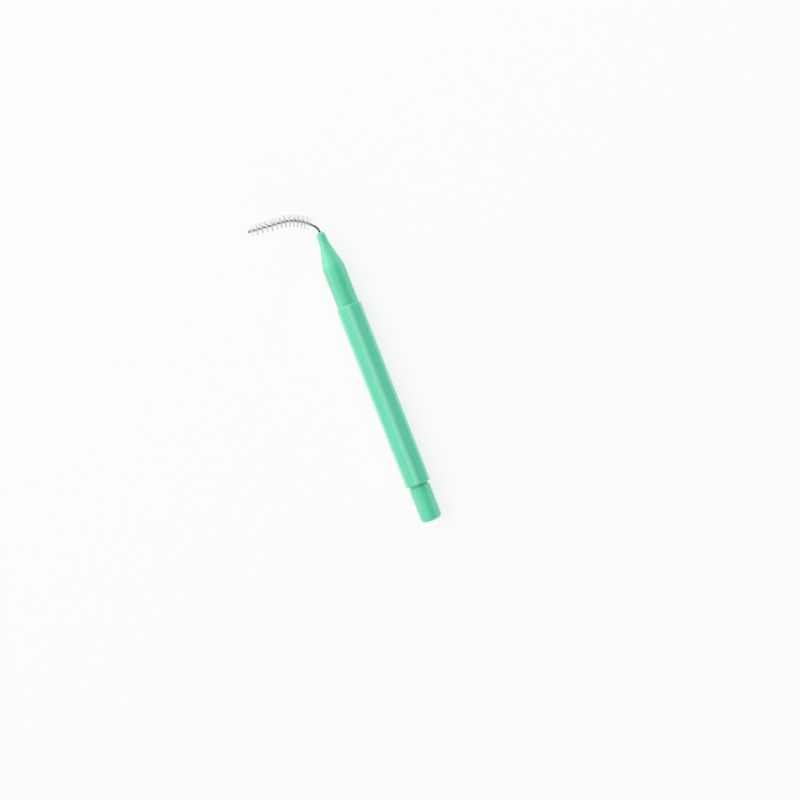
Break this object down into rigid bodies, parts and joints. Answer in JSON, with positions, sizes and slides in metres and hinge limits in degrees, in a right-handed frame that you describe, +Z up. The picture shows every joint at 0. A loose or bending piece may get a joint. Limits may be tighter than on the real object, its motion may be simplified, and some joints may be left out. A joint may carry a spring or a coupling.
{
  "type": "interdental brush",
  "caption": "Interdental brush: slim hexagonal mint-green handle with a bendable twisted-wire brush at its nose and a round push-on spigot behind.",
  "frame": {"origin": "middle of the grip's bottom flat, on which the brush lies", "axes": "+X along the handle towards the brush, +Z up from the surface that the brush lies on, +Y to the side that the wire bends to"},
  "size_m": [0.062, 0.0131, 0.0089],
  "materials": {
    "mint_plastic": "fine satin, moulded in one piece",
    "stainless_wire": "bright drawn wire",
    "nylon_bristle": "clear white nylon filament"
  },
  "bodies": {
    "handle": {"handle": "mint_plastic", "stem_wire": "stainless_wire"},
    "brush_head": {"core_wire": "stainless_wire", "bristle_row_1": "nylon_bristle", "bristle_row_2": "nylon_bristle", "bristle_row_3": "nylon_bristle", "bristle_row_4": "nylon_bristle", "bristle_row_5": "nylon_bristle", "bristle_row_6": "nylon_bristle", "bristle_row_7": "nylon_bristle"}
  },
  "joints": [
    {"name": "wire_bend", "type": "hinge", "parent": "handle", "child": "brush_head", "pos_m": [0.03289, 0.00028, 0.00249], "axis": [0, -0.5, 0.866], "range_deg": [-70, 15], "deforming": ["stem_wire"]}
  ]
}
